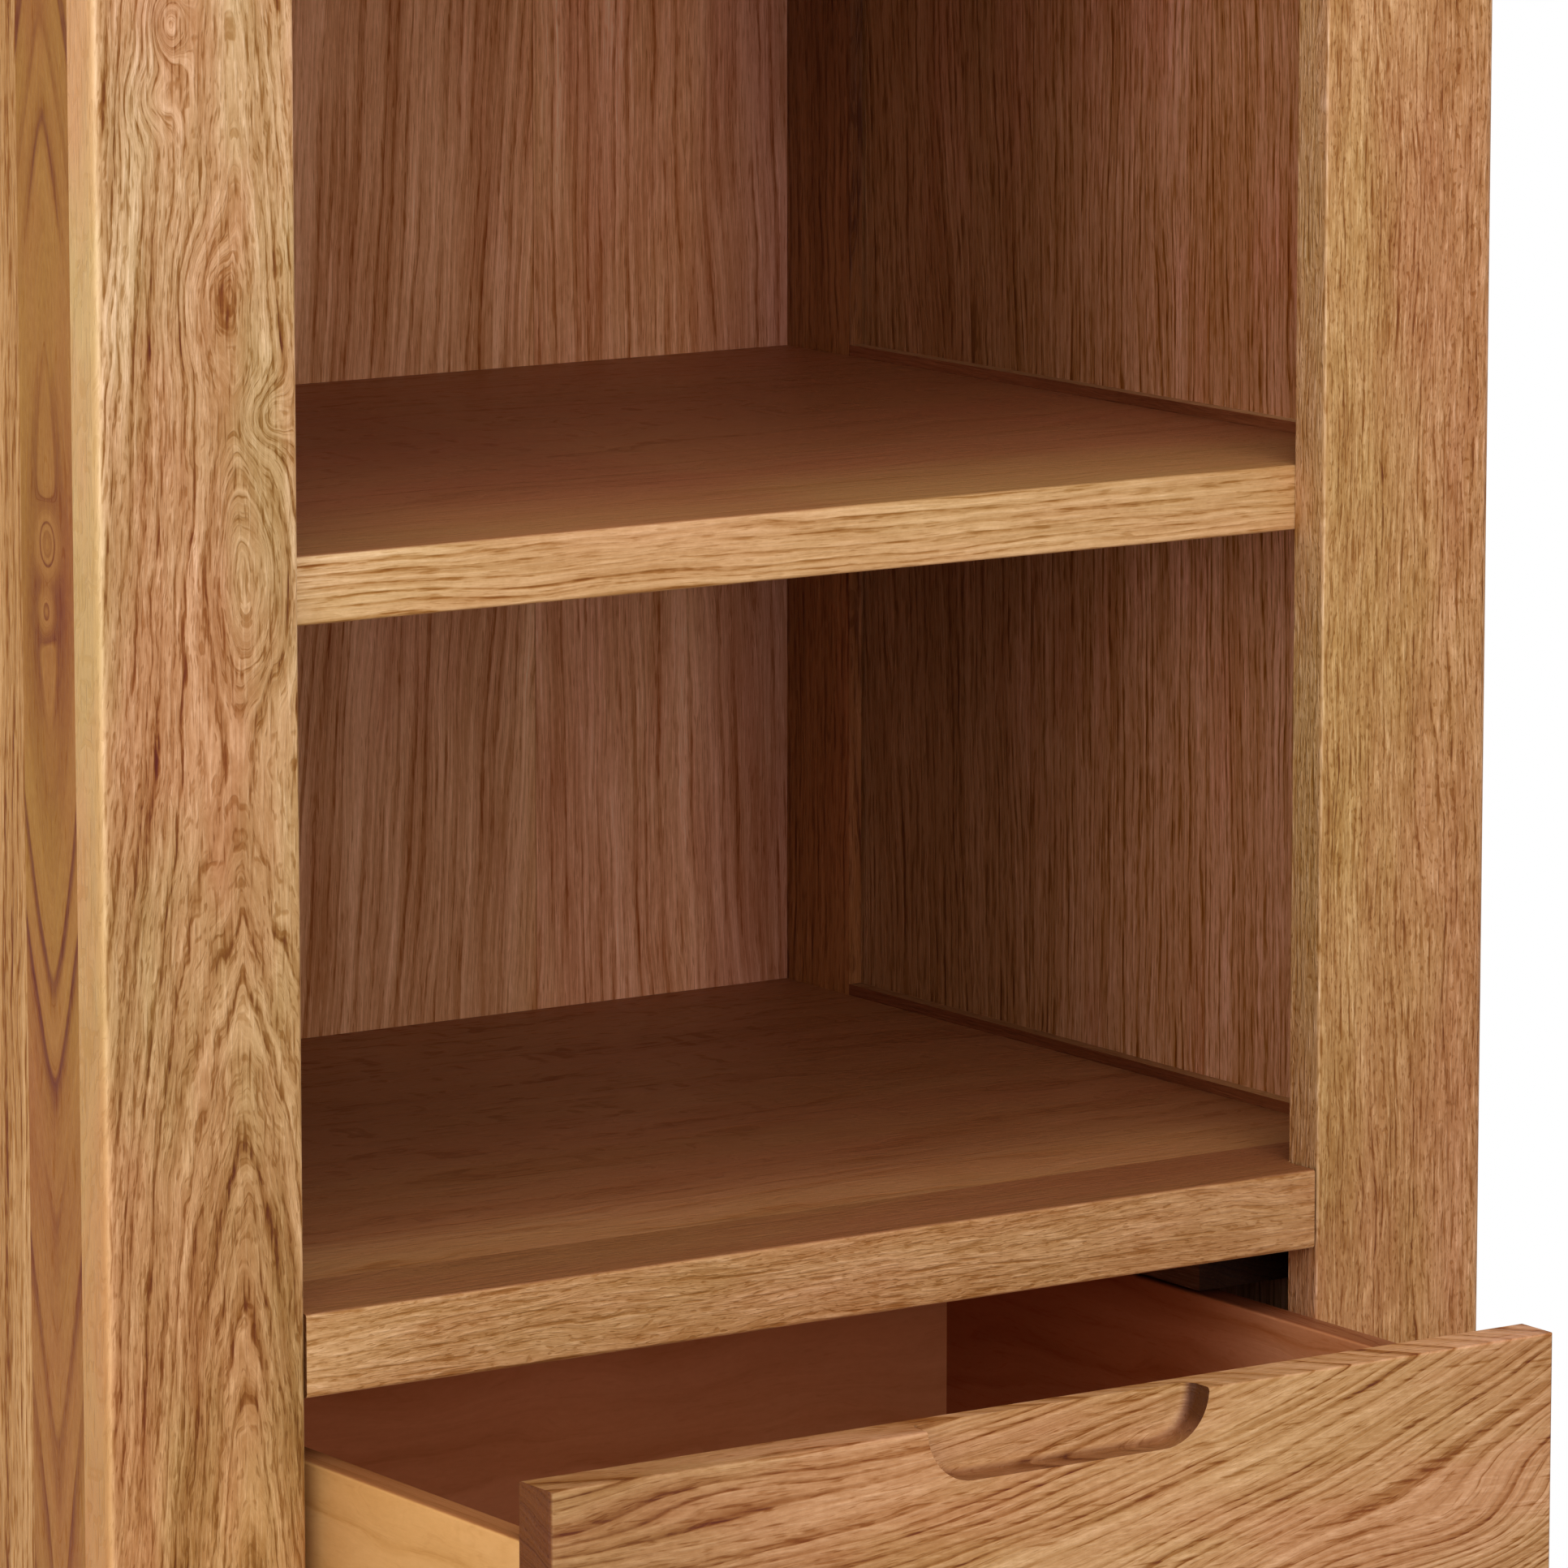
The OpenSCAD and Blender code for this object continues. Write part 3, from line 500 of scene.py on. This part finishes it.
def dress_inside():
    # Painted light and shade on the back panel's front face: painted light higher up, and
    # painted shade near the right rear post
    dress(oak("oak_back", "up", rgb(0.74, 0.350, 0.165), rgb(0.75, 0.325, 0.170),
              heart=(0.75, 0.7), lean=0.012, ring=0.0052, wave=0.018, ripple=0.0004, closed=0.8,
              stave=0.1505, stave_start=0.0045, seed=92.75, rings=0.16, bands=0.08, streaks=0.08,
              pores=0.10, flecks_and_glints=0.05, relief=0.25,
              turned=((BACKWARD, rgb(0.76, 0.88, 0.62)),),
              tones=((Z, LOW_HEIGHT, HIGH_HEIGHT, WHITE, rgb(1.16, 1.16, 1.16), FORWARD),
                     (X, 0.135, 0.158, WHITE, rgb(1.15, 1.22, 1.25), FORWARD),
                     (X, 0.226, 0.244, WHITE, rgb(0.80, 0.69, 0.68), FORWARD),
                     (X, 0.225, 0.285, WHITE, rgb(0.71, 0.70, 0.77), FORWARD))),
          "back_panel")
    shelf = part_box("shelf_1")
    front = shelf[0].y
    # Painted light and shade on the shelves: a painted highlight along the front arris, tops and
    # undersides painted darker as shade, and painted shade on the tops deepening towards the
    # back
    dress(oak("oak_shelf", "across_flat", rgb(0.685, 0.405, 0.173), rgb(0.70, 0.370, 0.168),
              heart=(0.1, 1.1), lean=0.01, ring=0.0036, wave=0.02, ripple=0.0005, closed=0.6,
              seed=31.0, rings=0.22, bands=0.03, streaks=0.075, pores=0.10, flecks_and_glints=0.03,
              mottle=0.025, relief=0.3, calm=(Z, 0.3, 0.22),
              painted_highlights=((front, shelf[1].z, 0.0009, 0.13),),
              turned=((UPWARD, rgb(0.71, 0.52, 0.45)), (DOWNWARD, rgb(0.6, 0.5, 0.4))),
              tones=((Y, front + 0.005, front + 0.11, rgb(0.98, 1.05, 1.02),
                      rgb(0.74, 0.59, 0.65), UPWARD),
                     (X, -0.20, -0.10, rgb(0.80, 0.77, 0.78), WHITE, UPWARD),
                     (X, 0.0, 0.04, WHITE, rgb(1.06, 1.17, 1.12), UPWARD),
                     (X, -0.22, -0.08, rgb(1.13, 1.29, 1.38), WHITE, FORWARD))),
          "shelf_1", "shelf_2", "shelf_3", "shelf_4")
    # The floor's dark colour is painted shade, as on the shelf tops, with more painted shade a
    # little behind the front edge that eases further back
    dress(oak("oak_floor", "across_flat", rgb(0.45, 0.20, 0.073), rgb(0.45, 0.18, 0.069),
              heart=(0.1, 1.1), lean=0.01, wave=0.02, closed=0.6, seed=33.0, calm=(Z, 0.3, 0.22),
              tones=((Y, front + 0.045, front + 0.10, rgb(1.06, 1.10, 1.10),
                      rgb(0.74, 0.63, 0.60)),
                     (Y, front + 0.13, front + 0.24, WHITE, rgb(1.06, 1.10, 1.14)))),
          "compartment_floor")
    floor_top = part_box("compartment_floor")[1].z
    in_shadow = rgb(0.47, 0.26, 0.20)
    # The battens' sides are painted in shadow and their tops painted lighter as lit; painted
    # shade also darkens them towards the back and at floor height
    dress(oak("oak_batten", "back", rgb(0.90, 0.53, 0.25), rgb(0.86, 0.50, 0.24), seed=71.0,
              rings=0.05, streaks=0.03, pores=0.04,
              turned=((LEFTWARD, in_shadow), (RIGHTWARD, in_shadow),
                      (UPWARD, rgb(1.05, 1.15, 1.20))),
              tones=((Y, -0.10, 0.05, WHITE, rgb(0.5, 0.4, 0.36)),
                     (Z, floor_top + 0.01, floor_top + 0.02, rgb(0.7, 0.6, 0.5), WHITE))),
          "side_battens_left", "side_battens_right")
    # The hidden pieces are coloured nearly black: painted shade, as they stay in shadow
    dress(oak("oak_hidden_painted_shade", "back", rgb(0.10, 0.042, 0.020), rgb(0.09, 0.038, 0.018), seed=72.0,
              rings=0.05, streaks=0.03, pores=0.04),
          "shelf_cleats", "drawer_runners", "drawer_guides", "drawer_kickers", "drawer_stops")
    dress(oak("oak_frame_inside", "across", PALE, WARM, seed=81.0),
          "rear_bottom_rail", "top_stretchers")


def dress_drawer():
    near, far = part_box("drawer_front")
    top = far.z
    # Painted light and shade on the drawer front: a painted highlight along the top front arris,
    # its top painted lighter towards the right end, and painted shade on the finger scoop's
    # lower wall and right end wall
    dress(oak("oak_drawer_front", "across", rgb(0.605, 0.325, 0.130), rgb(0.615, 0.298, 0.130),
              heart=(-0.30, -0.10), lean=-0.19, sweep=(0.0, -0.50, 5.0), ring=0.0044, wave=0.014,
              ripple=0.0006, closed=0.8, seed=51.0, rings=0.25, bands=0.05, streaks=0.06,
              pores=0.12, flecks_and_glints=0.05, mottle=0.03, relief=0.35, drifting=(0.42, 0.60),
              knots=((0.316, -0.150, 0.012, 0.055, -0.010),
                     (0.255, 0.190, 0.020, 0.050, 0.016)),
              calm=(X, 0.25, 0.6), painted_highlights=((top, near.y, 0.0010, 0.07),),
              turned=((UPWARD, rgb(0.93, 0.87, 0.88)), (LEFTWARD, rgb(1.05, 0.80, 0.13))),
              tones=((Z, top - 0.021, top - 0.003, rgb(0.54, 0.44, 0.35), WHITE, UPWARD),
                     (X, -0.21, -0.05, rgb(0.73, 0.67, 0.57), WHITE),
                     (X, 0.05, 0.25, WHITE, rgb(0.95, 0.93, 0.95), FORWARD),
                     (X, 0.02, 0.22, WHITE, rgb(1.40, 1.40, 1.60), UPWARD),
                     (X, -0.15, 0.0, WHITE, rgb(0.42, 0.42, 1.40), LEFTWARD))),
          "drawer_front")
    blond = rgb(0.68, 0.355, 0.12)
    # Painted light and shade on the drawer sides: their tops painted darker as shade, the left
    # side painted lighter at the front, and the right side's inner face painted dark, lighter at
    # the front and in painted shade towards the back
    for name, grain, base, turned, tones in (
            ("drawer_side_left", "back", blond, ((UPWARD, rgb(0.50, 0.36, 0.34)),),
             ((Y, -0.28, -0.12, rgb(1.18, 1.18, 1.18), WHITE),)),
            ("drawer_side_right", "back", rgb(0.44, 0.14, 0.05),
             ((UPWARD, rgb(0.42, 0.32, 0.29)),),
             ((Y, -0.19, -0.08, rgb(1.75, 2.3, 2.8), rgb(0.84, 0.70, 0.64)),)),
            ("drawer_back", "across", rgb(0.76, 0.315, 0.135), (), ()),
            ("drawer_bottom", "across", rgb(0.86, 0.41, 0.215), (), ()),
            ("drawer_dowels", "across", blond, (), ())):
        dress(oak("wood_" + name, grain, base, shade(base, 0.9), heart=(0.1, 0.5), ring=0.009,
                  wave=0.04, ripple=0.0003, closed=1.0, seed=91.0, rings=0.05, bands=0.03,
                  streaks=0.015, pores=0.02, flecks_and_glints=0.0, mottle=0.01, relief=0.08, gloss=0.36,
                  turned=turned, tones=tones), name)


def dress_cabinet():
    dress_face_frame()
    dress_sides()
    dress_inside()
    dress_drawer()
    pale_end = rgb(1.6, 1.5, 1.4)
    dress(oak("oak_top", "across_flat", PALE, WARM, heart=(0.05, 1.90), ring=0.0045,
              wave=0.012, ripple=0.0006, stave=0.105, stave_start=0.03, seed=61.0, rings=0.15,
              bands=0.05, relief=0.35,
              turned=((RIGHTWARD, pale_end), (LEFTWARD, pale_end))), "top_board")
    dress(plain("zinc", rgb(0.52, 0.50, 0.44), 0.3, 1.0),
          "cleat_screws", "back_screws", "top_screws", "drawer_bottom_screws")
    dress(plain("nylon", rgb(0.06, 0.04, 0.025), 0.5), "foot_glides")


# ---- Stage ----

FLOOR_RADIUS = 3.2
FADE_START, FADE_END = 0.25, 0.90   # metres from the middle of the floor
FADE_LEAST = 0.30                   # share of plain white near the cabinet
WORLD_LIGHT = 0.50

# Name, place, aim, width in metres and watts of each soft lamp
LAMPS = (("front", (-0.9, -3.4, 1.3), (0.0, 0.0, 0.8), 2.2, 18.0),
         ("left", (-2.9, 0.5, 1.2), (0.0, 0.0, 0.7), 1.8, 17.0),
         ("top", (-0.4, -1.8, 3.4), (0.0, 0.0, 0.7), 2.0, 28.0),
         ("front_left", (-2.7, -2.9, 1.9), (0.0, 0.0, 0.8), 2.0, 26.0))


def make_floor():
    """A pale floor that holds the soft shadow and fades slowly to white."""
    bpy.ops.mesh.primitive_circle_add(vertices=96, radius=FLOOR_RADIUS, fill_type="NGON")
    floor = bpy.context.object
    floor.name = "floor"
    material = bpy.data.materials.new("floor")
    material.use_nodes = True
    tree = material.node_tree
    tree.nodes.clear()
    g = Graph(tree)
    place = g.node("ShaderNodeTexCoord").outputs["Object"]
    faded = g.fit(g.vector("LENGTH", place), FADE_START, FADE_END, FADE_LEAST, 1.0, smooth=True)
    camera = g.node("ShaderNodeLightPath").outputs["Is Camera Ray"]
    matt = g.node("ShaderNodeBsdfDiffuse", {"Color": rgb(0.86, 0.86, 0.86)})
    white = g.node("ShaderNodeEmission", {"Color": WHITE, "Strength": 1.0})
    both = g.node("ShaderNodeMixShader", {0: g.times(faded, camera), 1: matt.outputs[0],
                                          2: white.outputs[0]})
    g.node("ShaderNodeOutputMaterial", {"Surface": both.outputs[0]})
    floor.data.materials.append(material)


def make_world(strength):
    """White to the eye, and a soft even light to everything else."""
    world = bpy.data.worlds.new("studio")
    bpy.context.scene.world = world
    world.use_nodes = True
    tree = world.node_tree
    tree.nodes.clear()
    g = Graph(tree)
    camera = g.node("ShaderNodeLightPath").outputs["Is Camera Ray"]
    soft = g.node("ShaderNodeBackground", {"Color": rgb(1.0, 0.99, 0.97), "Strength": strength})
    white = g.node("ShaderNodeBackground", {"Color": WHITE, "Strength": 1.0})
    both = g.node("ShaderNodeMixShader", {0: camera, 1: soft.outputs[0], 2: white.outputs[0]})
    g.node("ShaderNodeOutputWorld", {"Surface": both.outputs[0]})


def make_lamp(name, place, aim, width, watts):
    data = bpy.data.lights.new(name, "AREA")
    data.shape = "DISK"
    data.size = width
    data.energy = watts
    lamp = bpy.data.objects.new(name, data)
    lamp.location = place
    direction = Vector(aim) - Vector(place)
    lamp.rotation_euler = direction.to_track_quat("-Z", "Y").to_euler()
    bpy.context.scene.collection.objects.link(lamp)


make_camera()
dress_cabinet()
make_floor()
make_world(WORLD_LIGHT)
for lamp in LAMPS:
    make_lamp(*lamp)
bpy.context.scene.view_settings.view_transform = "Standard"
